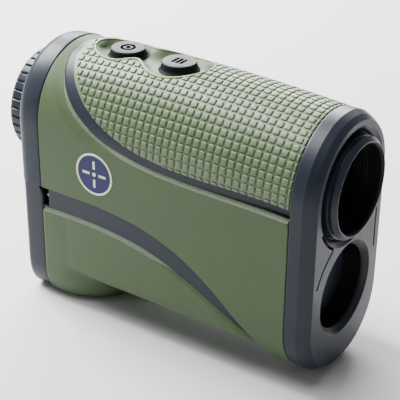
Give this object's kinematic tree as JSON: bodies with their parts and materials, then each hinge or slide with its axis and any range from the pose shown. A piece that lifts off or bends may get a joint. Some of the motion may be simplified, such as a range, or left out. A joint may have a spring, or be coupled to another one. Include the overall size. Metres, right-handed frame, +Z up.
{
  "type": "laser rangefinder",
  "caption": "Handheld laser rangefinder with stacked viewing and receiving optics, rubber armour, push buttons, a dioptre ring and a hinged battery door.",
  "frame": {"origin": "under the middle of the bounding box, on the plane that touches the lowest point", "axes": "+X out of the objective, +Z up, -Y the flank with the badge"},
  "size_m": [0.1074, 0.04, 0.0776],
  "materials": {
    "aluminium": "bead-blasted aluminium",
    "black_plastic": "matte black moulded plastic",
    "black_rubber": "matte black rubber",
    "brass": "plain brass",
    "button_cap": "fine-textured dark grey plastic",
    "cell_jacket": "printed film jacket",
    "circuit_board": "green solder mask",
    "green_rubber": "soft-touch moulded rubber, fine matte grain",
    "green_surround": "satin moulded plastic",
    "ivory_plastic": "glossy ivory",
    "lens_glass": "coated optical glass",
    "navy_plastic": "glossy navy",
    "slate_plastic": "semi-gloss blue-grey moulded plastic",
    "steel": "bright machined steel"
  },
  "bodies": {
    "housing": {"main_housing": "slate_plastic", "grip_armour": "green_rubber", "side_armour": "green_rubber", "lower_armour": "green_rubber", "badge_rim": "ivory_plastic", "badge_disc": "navy_plastic", "lanyard_pin": "steel", "front_bezel": "slate_plastic", "objective_hood": "slate_plastic", "objective_seal": "black_rubber", "objective_tube": "black_plastic", "objective_lens": "lens_glass", "objective_retainer": "black_plastic", "receiver_tube": "black_plastic", "receiver_lens": "lens_glass", "receiver_retainer": "black_plastic", "optical_chassis": "aluminium", "prism_block": "lens_glass", "reticle_display": "black_plastic", "laser_diode": "brass", "detector": "steel", "detector_board": "circuit_board", "main_board": "circuit_board", "button_board": "circuit_board", "power_switch": "black_plastic", "mode_switch": "black_plastic", "button_surround": "green_surround", "power_button_boot": "black_rubber", "mode_button_boot": "black_rubber", "rear_cover": "slate_plastic", "eyepiece_barrel": "black_plastic", "eyepiece_seal": "black_rubber", "field_lens": "lens_glass", "eye_lens": "lens_glass", "door_hinge_pin": "steel", "battery_tray": "black_plastic", "battery": "cell_jacket", "front_contact": "brass", "cover_screw_1": "steel", "cover_screw_2": "steel", "cover_screw_3": "steel", "cover_screw_4": "steel"},
    "power_key": {"power_button": "button_cap"},
    "mode_key": {"mode_button": "button_cap"},
    "dioptre": {"dioptre_ring": "slate_plastic", "eyecup": "black_rubber"},
    "door": {"battery_door": "slate_plastic", "door_contact": "brass"}
  },
  "joints": [
    {"name": "power_key_press", "type": "slide", "parent": "housing", "child": "power_key", "axis": [0, 0, -1], "range_m": [0, 0.001], "stiffness_N_per_m": 900, "springref_m": -0.001},
    {"name": "mode_key_press", "type": "slide", "parent": "housing", "child": "mode_key", "axis": [0, 0, -1], "range_m": [0, 0.001], "stiffness_N_per_m": 900, "springref_m": -0.001},
    {"name": "dioptre_turn", "type": "hinge", "parent": "housing", "child": "dioptre", "pos_m": [-0.049, 0, 0.054], "axis": [-1, 0, 0], "range_deg": [-120, 120]},
    {"name": "door_hinge", "type": "hinge", "parent": "housing", "child": "door", "pos_m": [-0.04, 0, 0.0016], "axis": [0, -1, 0], "range_deg": [0, 90]}
  ]
}
